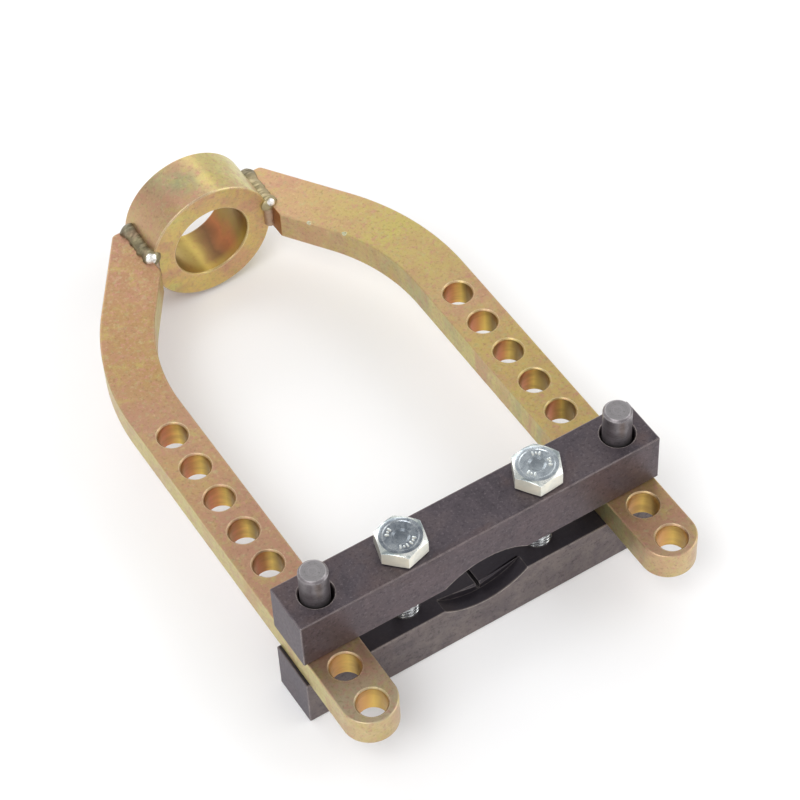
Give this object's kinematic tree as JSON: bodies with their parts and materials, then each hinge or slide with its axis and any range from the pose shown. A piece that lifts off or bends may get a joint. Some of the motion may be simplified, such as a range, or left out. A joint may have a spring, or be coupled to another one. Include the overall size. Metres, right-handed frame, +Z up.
{
  "type": "drive shaft joint puller",
  "caption": "Drive-shaft joint puller: bent, drilled arms welded to a thick collar ring, and notched jaw bars on guide pins that hexagon bolts draw together to clamp the shaft.",
  "frame": {"origin": "on the lower jaw's underside, midway between the guide pins, on the surface that the tool rests on", "axes": "+X across the arms along the jaw bars, +Y from the jaws to the collar ring, +Z up along the guide pins"},
  "size_m": [0.1666, 0.2823, 0.079],
  "materials": {
    "yellow_zinc": "yellow chromated zinc plate",
    "weld_metal": "plated weld bead",
    "black_oxide": "black oxide",
    "ground_steel": "plain turned steel",
    "bright_zinc": "bright zinc plate"
  },
  "bodies": {
    "lower_clamp": {"lower_jaw": "black_oxide", "left_pin": "ground_steel", "right_pin": "ground_steel"},
    "frame": {"collar_ring": "yellow_zinc", "left_arm": "yellow_zinc", "right_arm": "yellow_zinc", "weld_left_upper": "weld_metal", "weld_left_lower": "weld_metal", "weld_left_front": "weld_metal", "weld_right_upper": "weld_metal", "weld_right_lower": "weld_metal", "weld_right_front": "weld_metal"},
    "upper_jaw": {"upper_jaw": "black_oxide"},
    "left_bolt": {"left_bolt": "bright_zinc"},
    "right_bolt": {"right_bolt": "bright_zinc"}
  },
  "joints": [
    {"name": "frame_lift", "type": "slide", "parent": "lower_clamp", "child": "frame", "axis": [0, 0, 1], "range_m": [0, 0.058]},
    {"name": "jaw_open", "type": "slide", "parent": "frame", "child": "upper_jaw", "axis": [0, 0, 1], "range_m": [0, 0.02]},
    {"name": "left_bolt_turn", "type": "hinge", "parent": "upper_jaw", "child": "left_bolt", "pos_m": [-0.0309, 0.0004, 0.0636], "axis": [0, 0, 1], "range_deg": [0, 4120]},
    {"name": "right_bolt_turn", "type": "hinge", "parent": "upper_jaw", "child": "right_bolt", "pos_m": [0.0321, 0.0004, 0.0636], "axis": [0, 0, 1], "range_deg": [0, 4120]}
  ],
  "couplings": [
    {"joint": "left_bolt_turn", "follows": "jaw_open", "rad_per_m": 3590.4},
    {"joint": "right_bolt_turn", "follows": "jaw_open", "rad_per_m": 3590.4}
  ]
}
